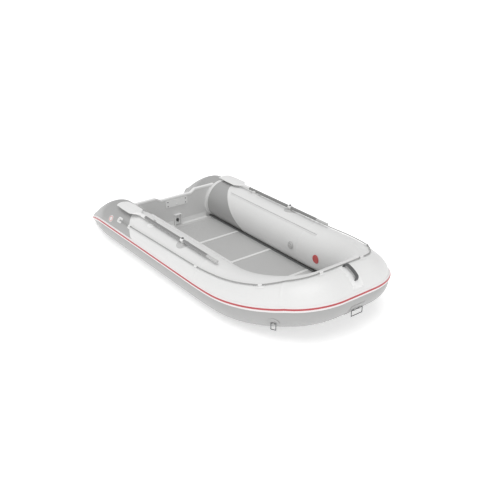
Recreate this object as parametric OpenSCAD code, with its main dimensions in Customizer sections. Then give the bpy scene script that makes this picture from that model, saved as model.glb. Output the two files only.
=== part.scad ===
// Inflatable dinghy with a rigid transom, an aluminium panel floor and a pair of oars.
// Millimetres. +X points to the bow, +Y to port, +Z up. The origin lies on the ground, under the
// middle of the hull's length and beam.

/* [Hull] */
// Overall length, from the stern cone tips to the front of the bow tube
loa = 3300; // [3100:10:3800]
// Beam over the two side tubes, without the rub strakes
beam = 1550; // [1450:10:1800]
// Diameter of the side tubes
tube_d = 412; // [380:2:440]
// Diameter of the bow tube at the very front
bow_d = 388; // [360:2:400]
// Thickness of the tube fabric
fabric_t = 1.2; // [0.7:0.1:2]
// Rise of the bow tube's axis above the side tubes' axes
bow_rise = 145; // [60:5:220]
// How far aft of the bow front the tubes begin to rise and to taper
rise_run = 1150; // [900:10:1300]
// Half width of the bow between its two corners, along the tube's axis
bow_corner_y = 305; // [260:5:340]
// Turn of each shoulder, away from straight ahead
shoulder_deg = 31; // [26:1:36]
// Length of each side of a shoulder's bend
shoulder_bend = 300; // [200:10:360]
// Length of each side of a bow corner's bend
corner_bend = 150; // [130:5:180]
// Length of each stern cone
cone_len = 530; // [400:10:600]
// Radius of the blunt end of a stern cone
cone_tip_r = 66; // [40:2:90]
// Where the grey stern section of a side tube meets the white one, forward of the cone tip
colour_joint_x = 1130; // [900:10:1300]

/* [Rub strake] */
// Height of the strake's profile along the tube's skin
strake_w = 46; // [30:1:60]
// How far the strake stands off the tube
strake_t = 10; // [6:0.5:16]
// Height of the strake's centre line above the tube's widest point, in degrees
strake_deg = 8.5; // [0:0.5:20]
// Height of the red stripe on the strake
stripe_w = 13; // [8:0.5:20]
// Thickness of the red stripe
stripe_t = 1.5; // [1:0.1:3]

/* [Bottom and floor] */
// Height of the floor's upper face above the ground
floor_z = 49; // [46:1:70]
// Thickness of a floor panel
panel_t = 12; // [8:1:16]
// Half width of the floor panels
panel_half = 410; // [380:5:418]
// Length of the aft floor panel, from the transom's channel to the first joiner
panel_aft_len = 512; // [400:1:600]
// Length of the middle floor panel
panel_mid_len = 522; // [400:1:600]
// Length of the fore floor panel
panel_fore_len = 540; // [400:1:600]
// Length of the tapered bow board
bow_board_len = 350; // [250:5:360]
// Half width of the bow board's front edge
bow_board_half = 270; // [200:5:300]
// Width of a floor joiner
joiner_w = 30; // [20:1:40]
// Diameter of the flattened air keel's rounded edges
keel_h = 30; // [20:1:30]
// Width of the flattened air keel
keel_w = 170; // [120:5:240]
// Thickness of the bottom fabric
bottom_t = 1.5; // [1:0.1:3]

/* [Transom] */
// Distance of the transom's inner face from the cone tips
transom_x = 690; // [640:5:760]
// Thickness of the transom board
transom_t = 30; // [22:1:38]
// Height of the transom's top beside the motor notch
transom_h = 390; // [370:1:400]
// Height of the motor notch's floor
notch_h = 357; // [330:1:365]
// Half width of the notch's floor
notch_half = 180; // [140:5:200]
// Half width of the notch at its top
notch_top_half = 236; // [205:5:260]
// Width and height of the inner motor plate
plate_in = [260, 74];
// Width and height of the outer motor plate
plate_out = [300, 140];
// Thickness of both motor plates
plate_t = 8; // [5:0.5:10]
// Bore of the drain valve
drain_d = 24; // [18:1:30]

/* [Oars and rowlocks] */
// Distance of the rowlock pin forward of the hull's middle
rowlock_x = 120; // [60:5:160]
// Distance of the rowlock pin outboard of the tube's axis
rowlock_out = 42; // [30:1:50]
// Height of the oar's axis above the rowlock's ball
oar_lift = 26; // [25:0.5:30]
// Diameter of the oar shaft
shaft_d = 28; // [24:1:30]
// Wall of the oar shaft
shaft_wall = 1.5; // [1:0.1:3]
// Length of the oar behind the pin
oar_aft = 1100; // [900:10:1120]
// Length of the oar in front of the pin
oar_fore = 520; // [450:10:540]
// Length of the oar blade
blade_len = 470; // [350:10:500]
// Width of the oar blade
blade_w = 150; // [110:5:160]
// Thickness of the oar blade
blade_t = 5; // [3:0.5:8]
// Diameter of the rowlock's stem
stem_d = 10; // [8:0.5:12]
// Diameter of the rowlock's ball
ball_d = 15; // [14:0.5:18]
// Distance of the oar rest behind the rowlock pin
rest_back = 520; // [400:10:560]

/* [Lines, handle and rings] */
// Diameter of the grab line
rope_d = 9; // [6:0.5:12]
// Width of the bow handle's base patch
handle_base_w = 110; // [80:5:130]
// Width of the bow handle's grip
handle_w = 30; // [20:1:40]
// Finger room under the bow handle's grip
handle_gap = 27; // [22:1:40]
// Inside width of the bow's mooring ring
bow_ring_w = 110; // [60:5:120]
// Inside height of the bow's mooring ring
bow_ring_h = 42; // [30:1:50]
// Inside width of a shoulder tow ring
tow_ring_w = 34; // [20:1:50]
// Inside height of a shoulder tow ring
tow_ring_h = 46; // [30:1:55]
// Bar diameter of the rings
ring_bar = 7; // [5:0.5:9]

/* [Valves and badges] */
// Diameter of an air valve's flange
valve_d = 72; // [60:1:80]
// Diameter of an air valve's cap
cap_d = 54; // [40:1:58]
// Distance of the side valves behind the shoulder bend
valve_back = 292; // [240:1:400]
// Diameter of the round badges inside the tubes
badge_d = 82; // [50:1:90]
// Diameter of the round badges on the stern
stern_badge_d = 68; // [40:1:80]

/* [Hidden] */

// Facets round the swept tubes, and round everything that stays a true circle
sides = 48;
$fn = 72;
// Segments of a circle that is as large as a tube
big = 240;
// Gap left under a piece that is glued to a tube, and between glued flat pieces
glue = 0.3;
// Gap round a piece that slides in or over another
slip = 0.1;
// Radial running clearance of a pin in its bore
run_fit = 0.06;

// Colours
white_pvc = "#eceeee";
grey_pvc = "#a3a9a9";
dark_rubber = "#55585a";
red_trim = "#b03038";
alloy = "#c3c7c8";
steel = "#6b6e70";

// Radii and axes of the tubes
side_r = tube_d / 2;
bow_r = bow_d / 2;
axis_y = (beam - tube_d) / 2;
bow_x = loa / 2 - bow_r;
tip_x = -loa / 2;
cone_x = tip_x + cone_len;
joint_x = tip_x + colour_joint_x;
rise_x = loa / 2 - rise_run;
rise_span = bow_x - rise_x;
rise_power = 2.25;
cone_cap = 50;

// The plan of the tubes' axis, port half: straight side, shoulder bend, oblique stretch, corner
// bend, straight front. Places along it are arc lengths from the start of the shoulder bend.
corner_deg = 90 - shoulder_deg;
shoulder_r = shoulder_bend / tan(shoulder_deg / 2);
corner_r = corner_bend / tan(corner_deg / 2);
shoulder_x = bow_x - (axis_y - bow_corner_y) / tan(shoulder_deg);
bend_x = shoulder_x - shoulder_bend;
oblique_len = (axis_y - bow_corner_y) / sin(shoulder_deg) - shoulder_bend - corner_bend;
s_shoulder = shoulder_r * shoulder_deg * PI / 180;
s_oblique = s_shoulder + oblique_len;
s_corner = s_oblique + corner_r * corner_deg * PI / 180;
s_mid = s_corner + bow_corner_y - corner_bend;
s_rise = rise_x - bend_x;

function deg(rad) = rad * 180 / PI;
function mix(a, b, t) = a + (b - a) * t;

// Heading of the axis at arc length s: 0 points to the bow, -90 across it
function heading(s) = s < 0 ? 0
    : s < s_shoulder ? -deg(s / shoulder_r)
    : s < s_oblique ? -shoulder_deg
    : s < s_corner ? -shoulder_deg - deg((s - s_oblique) / corner_r)
    : -90;
oblique_end = [shoulder_x + (shoulder_bend + oblique_len) * cos(shoulder_deg),
    axis_y - (shoulder_bend + oblique_len) * sin(shoulder_deg)];
function plan(s) = let (h = -heading(s))
    s < 0 ? [bend_x + s, axis_y]
    : s < s_shoulder ? [bend_x + shoulder_r * sin(h), axis_y - shoulder_r * (1 - cos(h))]
    : s < s_oblique ? [shoulder_x, axis_y] + (shoulder_bend + s - s_shoulder) * [cos(h), -sin(h)]
    : s < s_corner ? oblique_end + corner_r * [sin(h) - sin(shoulder_deg),
        cos(h) - cos(shoulder_deg)]
    : [bow_x, bow_corner_y - corner_bend - (s - s_corner)];

// Share of the rise and of the taper that is reached at x
function rise_share(x) = max(0, min(1, (x - rise_x) / rise_span));
function cone_share(x) = max(0, min(1, (cone_x - x) / (cone_len - cone_cap)));
function cap_share(x) = max(0, min(1, (tip_x + cone_cap - x) / cone_cap));
function cone_r(x) = side_r - (side_r - cone_tip_r) * pow(cone_share(x), 1.3);
function skin_r(x) = x < cone_x ? cone_r(x) * sqrt(1 - 0.98 * pow(cap_share(x), 2))
    : mix(side_r, bow_r, rise_share(x));
function axis_z(x) = x < cone_x ? cone_r(x)
    : side_r + bow_rise * pow(rise_share(x), rise_power);
function slope(x) = bow_rise * rise_power * pow(rise_share(x), rise_power - 1) / rise_span;
function pitch(s) = atan(slope(plan(s)[0]) * cos(heading(s)));

// Point on or off the port tube's skin: elevation 0 is outboard, 90 up, 180 inboard
function on_skin(s, elev, lift) = let (p = plan(s), h = heading(s), t = pitch(s),
    u = [-sin(h), cos(h), 0], v = [-sin(t) * cos(h), -sin(t) * sin(h), cos(t)])
    [p[0], p[1], axis_z(p[0])] + (skin_r(p[0]) + lift) * (cos(elev) * u + sin(elev) * v);
function mirror_y(p) = [p[0], -p[1], p[2]];

// Places of the rings that shape the swept pieces, port half from stern to bow
cone_marks = [for (k = [0 : 5]) tip_x + cone_cap * (1 - cos(18 * k))];
cone_stops = concat([for (x = cone_marks) x],
    [for (k = [1 : 9]) mix(tip_x + cone_cap, cone_x, k / 9)]);
bow_stops = concat([for (k = [0 : 3]) mix(s_rise, 0, k / 4)],
    [for (k = [0 : 7]) s_shoulder * k / 7],
    [for (k = [0 : 8]) mix(s_oblique, s_corner, k / 8)]);
trim_stops = concat([for (x = cone_stops) if (x > tip_x + cone_cap * 0.9) x - bend_x], bow_stops);

// A closed solid through a list of rings that all have the same number of points
// Columns named in flip are cut along their other diagonal
module rings(list, loop = false, flip = []) {
    n = len(list[0]);
    m = len(list);
    pts = [for (r = list) each r];
    walls = [for (i = [0 : m - (loop ? 1 : 2)], j = [0 : n - 1])
        let (a = i * n + j, b = i * n + (j + 1) % n, c = ((i + 1) % m) * n + j,
            d = ((i + 1) % m) * n + (j + 1) % n)
        each len(search(j, flip)) > 0 ? [[a, c, b], [c, d, b]] : [[a, d, b], [a, c, d]]];
    caps = loop ? [] : [[for (j = [0 : n - 1]) j], [for (j = [n - 1 : -1 : 0]) (m - 1) * n + j]];
    polyhedron(pts, concat(walls, caps));
}

function tube_ring(s, lift) = [for (k = [0 : sides - 1]) on_skin(s, 360 * k / sides, lift)];

// Port rings from stern to bow, then their mirror images from bow to stern
function backwards(list) = [for (k = [len(list) - 1 : -1 : 0]) list[k]];
function round_bow(port) = concat(port, backwards([for (r = port) [for (q = r) mirror_y(q)]]));

// Open-ended swept fabric tube, from one side round the bow to the other
module bow_shell() {
    outer = round_bow([for (s = bow_stops) tube_ring(s, 0)]);
    inner = round_bow([for (s = bow_stops) tube_ring(s, -fabric_t)]);
    rings(concat(outer, backwards(inner)), loop = true);
}

module side_tube(x0, x1) {
    translate([x0, axis_y, side_r]) rotate([0, 90, 0]) difference() {
        cylinder(r = side_r, h = x1 - x0, $fn = big);
        translate([0, 0, -1]) cylinder(r = side_r - fabric_t, h = x1 - x0 + 2, $fn = big);
    }
}

// Hollow stern cone, straight along its underside and open where it meets the side tube
module cone_shell() {
    outer = [for (x = cone_stops) cone_ring(x, 0)];
    inner = [for (x = cone_stops) cone_ring(x, -fabric_t)];
    rings(concat(outer, backwards(inner)));
}
function cone_ring(x, lift) = let (r = skin_r(x) + lift, dx = x < tip_x + cone_cap - 1 ? -lift : 0)
    [for (k = [0 : sides - 1]) [x + dx, axis_y + r * cos(360 * k / sides),
        axis_z(x) + r * sin(360 * k / sides)]];

module to_starboard() {
    mirror([0, 1, 0]) children();
}

module both_sides() {
    children();
    to_starboard() children();
}

// Places a child on the port tube's skin: +Z away from the tube, +X along it
module on_tube(s, elev, turn = 0) {
    p = plan(s);
    translate([p[0], p[1], axis_z(p[0])]) rotate([0, 0, heading(s)]) rotate([0, -pitch(s), 0])
        rotate([elev - 90, 0, 0]) translate([0, 0, skin_r(p[0])]) rotate([0, 0, turn])
        children();
}

// A layer between two heights above a tube of radius r, wrapped round it along X
module layer(r, low, high, half) {
    translate([-half, 0, -r]) rotate([0, 90, 0]) difference() {
        cylinder(r = r + high, h = 2 * half, $fn = big);
        translate([0, 0, -1]) cylinder(r = r + low, h = 2 * half + 2, $fn = big);
    }
}

module round_patch(d, r, low, high) {
    intersection() {
        translate([0, 0, -d / 2]) cylinder(d = d, h = d);
        layer(r, low, high, d);
    }
}

// A rectangle with rounded corners, as one outline
module oblong(l, w, corner) {
    polygon([for (i = [0 : 3], k = [0 : 5]) let (a = 90 * i + 18 * k)
        [sign(cos(90 * i + 45)) * (l / 2 - corner) + corner * cos(a),
            sign(sin(90 * i + 45)) * (w / 2 - corner) + corner * sin(a)]]);
}

module oblong_patch(l, w, corner, r, low, high) {
    intersection() {
        translate([0, 0, -w / 2]) linear_extrude(w) oblong(l, w, corner);
        layer(r, low, high, l);
    }
}

// A ring segment round the port side tube, between two elevations
module arc_band(x, e0, e1, low, high, wide) {
    translate([x, axis_y, side_r]) rotate([0, 90, 0]) rotate([0, 0, e0 + 90])
        rotate_extrude(angle = e1 - e0, $fn = big)
        translate([side_r + low, 0]) square([high - low, wide]);
}

// The same round the straight front of the bow tube
module bow_arc(e0, e1, low, high, wide) {
    translate([bow_x, wide / 2, side_r + bow_rise]) rotate([90, 0, 0]) rotate([0, 0, e0])
        rotate_extrude(angle = e1 - e0, $fn = big)
        translate([bow_r + low, 0]) square([high - low, wide]);
}

// An upright plate across the hull: the child is its outline, with Y across and Z up
module slab(x, t) {
    translate([x, 0, 0]) rotate([90, 0, 90]) linear_extrude(t) children();
}

// The space that the two side tubes take, grown by a gap
module side_tube_space(gap) {
    both_sides() translate([tip_x, axis_y, side_r]) rotate([0, 90, 0])
        cylinder(r = side_r + gap, h = loa, $fn = big);
}

// ---- hull ----

module starboard_side_tube() {
    color(white_pvc) to_starboard() side_tube(joint_x, rise_x);
}

module port_side_tube() {
    color(white_pvc) side_tube(joint_x, rise_x);
}

module bow_tube() {
    color(white_pvc) bow_shell();
}

module starboard_quarter_tube() {
    color(grey_pvc) to_starboard() side_tube(cone_x, joint_x);
}

module port_quarter_tube() {
    color(grey_pvc) side_tube(cone_x, joint_x);
}

module starboard_stern_cone() {
    color(grey_pvc) to_starboard() cone_shell();
}

module port_stern_cone() {
    color(grey_pvc) cone_shell();
}

bulkhead_depth = 90;
bulkhead_crown = 20;
module chamber_bulkheads() {
    rim = side_r - fabric_t - glue;
    color(grey_pvc) both_sides() translate([rise_x - bulkhead_depth - glue, axis_y, side_r])
        rotate([0, 90, 0]) difference() {
            cylinder(r1 = rim, r2 = bulkhead_crown, h = bulkhead_depth);
            translate([0, 0, -2 * fabric_t])
                cylinder(r1 = rim, r2 = bulkhead_crown, h = bulkhead_depth);
        }
}

// The strake: half its angular height, and its section at arc length s
strake_seat = 0.55;
function strake_half(s) = deg(strake_w / 2 / skin_r(plan(s)[0]));
function strake_section(s) = let (w = strake_half(s)) concat(
    [for (q = [[-1, 0.2], [-0.8, 0.7], [-0.45, 1], [0.45, 1], [0.8, 0.7], [1, 0.2]])
        on_skin(s, strake_deg + q[0] * w, q[1] * strake_t)],
    [for (k = [3 : -1 : -3]) on_skin(s, strake_deg + k / 3 * w, strake_seat)]);
function stripe_section(s) = let (top = 0.45 * strake_half(s),
    low = top - deg(stripe_w / skin_r(plan(s)[0])))
    [for (q = [[low, 1], [top, 1], [top, 0], [low, 0]])
        on_skin(s, strake_deg + q[0], strake_t + 0.2 + q[1] * stripe_t)];

module rub_strake() {
    color(white_pvc) rings(round_bow([for (s = trim_stops) strake_section(s)]));
}

module rub_strake_stripe() {
    color(red_trim) rings(round_bow([for (s = trim_stops) stripe_section(s)]));
}

// The bottom fabric: glued low on the inboard side of the tubes, with a V that deepens forward
skin_elev = 252;
keel_low = 2.6;
keel_rise_x = rise_x + 300;
front_edge = on_skin(s_corner, skin_elev, glue);
function keel_z(x) = keel_low + (front_edge[2] - 12)
    * pow(max(0, x - keel_rise_x) / (front_edge[0] - keel_rise_x), 2);
function bottom_section(s) = let (e = on_skin(s, skin_elev, glue), k = keel_z(e[0]))
    [[e[0], e[1], e[2] - bottom_t], e, [e[0], 0, k], mirror_y(e),
        [e[0], -e[1], e[2] - bottom_t], [e[0], 0, k - bottom_t]];
board_x = tip_x + transom_x;

// Both walls and both sides share one pattern of triangles, so the walls stay bottom_t apart
skin_flip = [2, 5];
module bottom_skin() {
    color(grey_pvc) rings([for (s = concat([board_x - transom_t - bend_x], bow_stops))
        bottom_section(s)], flip = skin_flip);
}

floor_aft_x = board_x + 10;
joiner_web = 4;
joiner_lip = 2.4;
seam_a = floor_aft_x + panel_aft_len + joiner_web / 2;
seam_b = seam_a + panel_mid_len + joiner_web;
seam_c = seam_b + panel_fore_len + joiner_web;
panel_low = floor_z - panel_t;
under_floor = panel_low - slip - joiner_lip;

// A flat bladder with round edges, closed at both ends
keel_front = rise_x + 50;
module keel_form(x0, x1, wall) {
    h = keel_h - 2 * wall;
    translate([x0, 0, under_floor - glue - keel_h / 2]) rotate([90, 0, 90])
        linear_extrude(x1 - x0) union() {
            square([keel_w - keel_h, h], center = true);
            for (i = [-1, 1]) translate([i * (keel_w - keel_h) / 2, 0]) circle(h / 2);
        }
}

module keel_bladder() {
    color(grey_pvc) difference() {
        keel_form(floor_aft_x, keel_front, 0);
        keel_form(floor_aft_x + fabric_t, keel_front - fabric_t, fabric_t);
    }
}

// ---- floor ----

// A panel is a hollow extrusion that runs across the boat, with evenly spaced webs
panel_wall = 2;
cell_pitch = 65;
module panel(x0, len) {
    cells = round(len / cell_pitch);
    pitch_x = (len - panel_wall) / cells;
    color(alloy) translate([x0, panel_half, panel_low]) rotate([90, 0, 0])
        linear_extrude(2 * panel_half) difference() {
            square([len, panel_t]);
            for (k = [0 : cells - 1]) translate([panel_wall + k * pitch_x, panel_wall])
                square([pitch_x - panel_wall, panel_t - 2 * panel_wall]);
        }
}

// The raised tread lies clear of the joiners, the stringers and the transom's foot
tread_h = 0.8;
tread_edge = 14;
tread_aft = 62;
tread_half = panel_half - 15;
module tread(x0, x1) {
    color(alloy) translate([x0, -tread_half, floor_z - slip])
        cube([x1 - x0, 2 * tread_half, tread_h + slip]);
}

module floor_panel_aft() {
    panel(floor_aft_x, panel_aft_len - slip);
    tread(floor_aft_x + tread_aft, seam_a - joiner_web / 2 - tread_edge);
}

module floor_panel_middle() {
    panel(seam_a + joiner_web / 2 + slip, panel_mid_len - 2 * slip);
    tread(seam_a + joiner_web / 2 + tread_edge, seam_b - joiner_web / 2 - tread_edge);
}

module floor_panel_fore() {
    panel(seam_b + joiner_web / 2 + slip, panel_fore_len - 2 * slip);
    tread(seam_b + joiner_web / 2 + tread_edge, seam_c - joiner_web / 2 - tread_edge);
}

bow_board_full = 124;
module floor_board_bow() {
    x0 = seam_c + joiner_web / 2 + slip;
    half = [[x0, panel_half], [x0 + bow_board_full, panel_half],
        [x0 + bow_board_len, bow_board_half]];
    color(alloy) intersection() {
        panel(x0, bow_board_len);
        translate([0, 0, panel_low]) linear_extrude(panel_t)
            polygon(concat(half, backwards([for (q = half) [q[0], -q[1]]])));
    }
}

stringer_in = panel_half - 14;
module floor_joiners() {
    color(alloy) for (x = [seam_a, seam_b, seam_c])
        translate([x, stringer_in - 0.5, 0]) rotate([90, 0, 0])
            linear_extrude(2 * stringer_in - 1) union() {
                for (z = [under_floor, floor_z + slip])
                    translate([-joiner_w / 2, z]) square([joiner_w, joiner_lip]);
                translate([-joiner_web / 2, under_floor])
                    square([joiner_web, panel_t + 2 * joiner_lip]);
            }
}

stringer_low = panel_low - 5;
stringer_top = floor_z + 8;
module side_stringers() {
    color(dark_rubber) difference() {
        both_sides() translate([floor_aft_x, stringer_in, stringer_low])
            cube([bend_x - 16 - floor_aft_x, side_r / 4, stringer_top - stringer_low]);
        translate([tip_x, -panel_half - slip, panel_low - slip])
            cube([loa, 2 * panel_half + 2 * slip, panel_t + 2 * slip]);
        side_tube_space(glue);
    }
}

// ---- transom ----

transom_reach = 500;
cap_lip = 12;
cap_t = 4;
cap_wall = 3;
band_t = 4;
function top_line(dz) = [[-transom_reach, transom_h + dz], [-notch_top_half, transom_h + dz],
    [-notch_half, notch_h + dz], [notch_half, notch_h + dz], [notch_top_half, transom_h + dz],
    [transom_reach, transom_h + dz]];
plate_drop = 21;
plate_mid_z = notch_h - plate_drop - plate_in[1] / 2;
plate_out_z = notch_h - cap_lip - 4 - plate_out[1] / 2;
bolt_pts = [for (i = [-1, 1], j = [-1, 1]) [i * (plate_in[0] / 2 - 25),
    plate_mid_z + j * (plate_in[1] / 2 - 15)]];
bolt_r = 3;
bolt_head_r = 6.5;
bolt_head_h = 3.5;
bolt_seat = bolt_head_h + slip + glue;
plate_in_face = board_x + slip + plate_t;
plate_out_face = board_x - transom_t - slip - plate_t;
drain_z = floor_z + 55;
drain_r = drain_d / 2;
sleeve_r = drain_r + 4;

module bolt_holes(x, t) {
    for (q = bolt_pts) translate([x - 1, q[0], q[1]]) rotate([0, 90, 0])
        cylinder(r = bolt_r + slip, h = t + 2);
}

module bolt_seats(x) {
    for (q = bolt_pts) translate([x, q[0], q[1]]) rotate([0, 90, 0])
        cylinder(r = bolt_head_r + slip, h = bolt_seat + 1);
}

module transom_board() {
    color(grey_pvc) difference() {
        slab(board_x - transom_t, transom_t)
            polygon(concat([[0, keel_low + glue]], [[-transom_reach, 11]], top_line(0),
                [[transom_reach, 11]]));
        side_tube_space(glue);
        bolt_holes(board_x - transom_t, transom_t);
        translate([board_x - transom_t - 1, 0, drain_z]) rotate([0, 90, 0])
            cylinder(r = sleeve_r + slip, h = transom_t + 2);
    }
}

module transom_cap() {
    color(white_pvc) difference() {
        slab(board_x - transom_t - cap_wall, transom_t + 2 * cap_wall)
            polygon(concat(top_line(cap_t), backwards(top_line(-cap_lip))));
        slab(board_x - transom_t - slip, transom_t + 2 * slip)
            polygon(concat([[-2 * transom_reach, 0]], [[-2 * transom_reach, transom_h + slip]],
                top_line(slip), [[2 * transom_reach, transom_h + slip]],
                [[2 * transom_reach, 0]]));
        side_tube_space(band_t + 1);
    }
}

guard_half = 37;
module transom_base_channel() {
    z = floor_z + slip;
    color(alloy) both_sides() {
        translate([board_x + slip, guard_half + 7, z]) cube([4, 320, 51]);
        translate([board_x + slip, guard_half + 7, z]) cube([34, 320, 4]);
    }
}

module transom_bands() {
    color(white_pvc) both_sides() {
        arc_band(board_x + slip, 84, 224, glue, band_t, 38);
        arc_band(board_x + slip, 132, 222, glue, 16, 4);
    }
}

module motor_plate_inner() {
    color(white_pvc) difference() {
        union() {
            slab(board_x + slip, plate_t)
                translate([0, plate_mid_z]) oblong(plate_in[0], plate_in[1], 10);
            translate([board_x + plate_t, 0, plate_mid_z - 14]) rotate([0, 90, 0])
                cylinder(r = 8, h = 5);
        }
        bolt_holes(board_x, plate_t);
        bolt_seats(plate_in_face - bolt_seat);
    }
}

module motor_plate_outer() {
    x = plate_out_face;
    color(dark_rubber) difference() {
        slab(x, plate_t) translate([0, plate_out_z]) oblong(plate_out[0], plate_out[1], 14);
        bolt_holes(x, plate_t);
        bolt_seats(x - 1);
    }
}

module motor_plate_bolts() {
    x0 = plate_out_face + glue;
    x1 = plate_in_face - glue - bolt_head_h;
    color(steel) for (q = bolt_pts) translate([0, q[0], q[1]]) rotate([0, 90, 0]) {
        translate([0, 0, x0]) cylinder(r = bolt_head_r, h = bolt_head_h);
        translate([0, 0, x0 + 1]) cylinder(r = bolt_r, h = x1 - x0);
        translate([0, 0, x1]) cylinder(r = bolt_head_r, h = bolt_head_h);
    }
}

drain_out_x = board_x - transom_t;
flap_pin_x = drain_out_x - 7;
flap_pin_z = drain_z + 34;
flap_half = 8;
module drain_valve() {
    color(white_pvc) difference() {
        union() {
            translate([board_x + slip, 0, drain_z]) rotate([0, 90, 0])
                cylinder(r = sleeve_r + 11, h = 4);
            translate([drain_out_x - slip - 5, 0, drain_z]) rotate([0, 90, 0])
                cylinder(r = sleeve_r + 10, h = 5);
            translate([drain_out_x - 1, 0, drain_z]) rotate([0, 90, 0])
                cylinder(r = sleeve_r, h = transom_t + 2);
            for (i = [-1, 1], q = [[flap_pin_x - 4, 27], [drain_out_x - slip - 5, 18]])
                translate([q[0], i * (flap_half + 2.3) - 2, drain_z + q[1]])
                    cube([drain_out_x - slip - q[0], 4, 39 - q[1]]);
            translate([flap_pin_x, -flap_half - 3, flap_pin_z]) rotate([-90, 0, 0])
                cylinder(r = 2, h = 2 * flap_half + 6);
        }
        translate([drain_out_x - 10, 0, drain_z]) rotate([0, 90, 0])
            cylinder(r = drain_r, h = transom_t + 20);
    }
}

module drain_flap() {
    x = drain_out_x - slip - 5 - glue - 3;
    color(dark_rubber) difference() {
        union() {
            translate([x, 0, drain_z]) rotate([0, 90, 0]) cylinder(r = drain_r + 10, h = 3);
            translate([x, -flap_half, drain_z + 12]) cube([3, 2 * flap_half, 21]);
            translate([flap_pin_x, -flap_half, flap_pin_z]) rotate([-90, 0, 0])
                cylinder(r = 4, h = 2 * flap_half);
        }
        translate([flap_pin_x, -flap_half - 1, flap_pin_z]) rotate([-90, 0, 0])
            cylinder(r = 2 + run_fit, h = 2 * flap_half + 2);
    }
}

module drain_plug() {
    x = board_x + slip + 4 + slip;
    color(dark_rubber) translate([x, 0, drain_z]) rotate([0, 90, 0]) {
        translate([0, 0, -14]) cylinder(r = drain_r - run_fit, h = 15);
        cylinder(r = drain_r + 5, h = 6);
        translate([-17, -3, 5]) cube([34, 6, 13]);
    }
}

module drain_guard() {
    x = board_x + slip;
    z = floor_z + slip;
    tall = 120;
    color(white_pvc) difference() {
        union() {
            translate([x, -guard_half, z]) cube([3, 2 * guard_half, tall]);
            for (i = [-1, 1]) translate([x, i * (guard_half - 2) - 2, z]) cube([27, 4, tall]);
            translate([x, -guard_half, z + tall - 4]) cube([30, 2 * guard_half, 4]);
        }
        translate([x - 1, 0, drain_z]) rotate([0, 90, 0]) cylinder(r = sleeve_r + 12, h = 6);
    }
}

// ---- tube fittings ----

rail_deg = 118.6;
rail_x = [tip_x + 1010, bend_x - 66];
module thwart_rails() {
    color(white_pvc) both_sides() {
        arc_band(rail_x[0], rail_deg - 4.7, rail_deg + 4.7, glue, 2.8, rail_x[1] - rail_x[0]);
        arc_band(rail_x[0], rail_deg - 0.8, rail_deg + 0.8, 2.5, 6, rail_x[1] - rail_x[0]);
        translate([rail_x[0], axis_y, side_r]) rotate([rail_deg - 90, 0, 0])
            translate([0, 0, side_r + 7]) rotate([0, 90, 0])
            cylinder(r = 4, h = rail_x[1] - rail_x[0]);
    }
}

pin_y = axis_y + rowlock_out;
pin_elev = acos(rowlock_out / side_r);
ball_z = tube_d + 4;
boss_top = ball_z + 4;
oar_z = ball_z + oar_lift;
shaft_r = shaft_d / 2;
stem_r = stem_d / 2;
collar_r = shaft_r + 4;
collar_half = 20;

module rowlock_bases() {
    color(grey_pvc) both_sides() difference() {
        union() {
            on_tube(rowlock_x - bend_x, pin_elev)
                round_patch(120, side_r, glue, glue + 3);
            translate([rowlock_x, pin_y, boss_top - 24]) cylinder(r = 24, h = 14);
            translate([rowlock_x, pin_y, boss_top - 10]) cylinder(r1 = 24, r2 = 14, h = 10);
        }
        side_tube_space(glue);
        translate([rowlock_x, pin_y, ball_z]) sphere(d = ball_d + 0.6);
        translate([rowlock_x, pin_y, ball_z]) cylinder(r = stem_r + 1.7, h = 10);
    }
}

module rowlock_post() {
    color(dark_rubber) translate([rowlock_x, pin_y, ball_z]) {
        sphere(d = ball_d);
        cylinder(r = stem_r, h = oar_lift + collar_r + 8);
        translate([0, 0, oar_lift - collar_r - slip - 1]) cylinder(r = stem_r + 4, h = 1);
    }
}

module rowlock_cap() {
    color(dark_rubber) translate([rowlock_x, pin_y, oar_z + collar_r + 2 * slip])
        difference() {
            cylinder(r = stem_r + 6, h = 7);
            translate([0, 0, -1]) cylinder(r = stem_r + run_fit, h = 9);
        }
}

module stem_hole() {
    translate([rowlock_x, pin_y, oar_z - 40]) cylinder(r = stem_r + run_fit, h = 80);
}

module along_oar(from, to, r) {
    translate([from, pin_y, oar_z]) rotate([0, 90, 0]) cylinder(r = r, h = to - from);
}

module oar_collar() {
    color(white_pvc) difference() {
        union() {
            along_oar(rowlock_x - collar_half, rowlock_x + collar_half, collar_r);
            translate([rowlock_x, pin_y, oar_z - collar_r]) cylinder(r = 12, h = 2 * collar_r);
        }
        along_oar(rowlock_x - 50, rowlock_x + 50, shaft_r + run_fit);
        stem_hole();
    }
}

blade_x = rowlock_x - oar_aft;
shaft_x = [blade_x + blade_len - 90, rowlock_x + oar_fore - 145];
module oar_shaft() {
    color(alloy) difference() {
        along_oar(shaft_x[0], shaft_x[1], shaft_r);
        along_oar(shaft_x[0] - 1, shaft_x[1] + 1, shaft_r - shaft_wall);
        stem_hole();
    }
}

blade_corner = 30;
module oar_blade() {
    root = blade_x + blade_len;
    color(white_pvc) difference() {
        union() {
            translate([0, pin_y, oar_z - blade_t / 2]) linear_extrude(blade_t) union() {
                translate([blade_x + blade_corner, -blade_w / 2])
                    square([blade_len * 0.72 - blade_corner, blade_w]);
                translate([blade_x, -blade_w / 2 + blade_corner])
                    square([blade_corner + 1, blade_w - 2 * blade_corner]);
                for (i = [-1, 1])
                    translate([blade_x + blade_corner, i * (blade_w / 2 - blade_corner)])
                        circle(blade_corner);
                polygon([[blade_x + blade_len * 0.72 - 1, -blade_w / 2], [root, -shaft_r],
                    [root, shaft_r], [blade_x + blade_len * 0.72 - 1, blade_w / 2]]);
            }
            along_oar(root - 150, root, shaft_r + 3);
        }
        along_oar(shaft_x[0] - 0.3, root + 1, shaft_r + run_fit);
    }
}

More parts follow.
